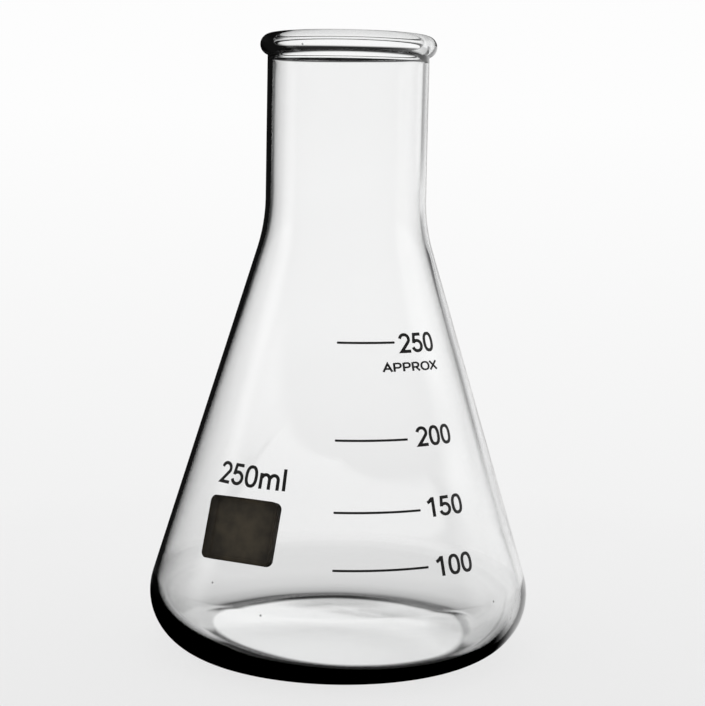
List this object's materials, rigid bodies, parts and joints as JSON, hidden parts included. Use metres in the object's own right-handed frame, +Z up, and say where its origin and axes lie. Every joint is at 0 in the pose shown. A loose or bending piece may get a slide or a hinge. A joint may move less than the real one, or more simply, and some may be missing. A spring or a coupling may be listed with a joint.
{
  "type": "conical flask",
  "caption": "Narrow-neck conical glass flask with a beaded rim, a rounded heel and a pushed-up base, marked with fired enamel graduation lines and a writing spot.",
  "frame": {"origin": "middle of the foot ring, on the surface that the flask stands on", "axes": "+Z up along the axis of the glass, -Y towards the front, where the graduation lines are, +X to the right"},
  "size_m": [0.086, 0.086, 0.138],
  "materials": {
    "borosilicate_glass": "clear, blown, fire-polished rim",
    "black_enamel": "fired, semi-gloss",
    "brown_enamel": "fired, matt enough to write on"
  },
  "bodies": {
    "root": {"flask_body": "borosilicate_glass", "graduation_line_250": "black_enamel", "graduation_line_200": "black_enamel", "graduation_line_150": "black_enamel", "graduation_line_100": "black_enamel", "marking_spot": "brown_enamel"}
  },
  "joints": []
}
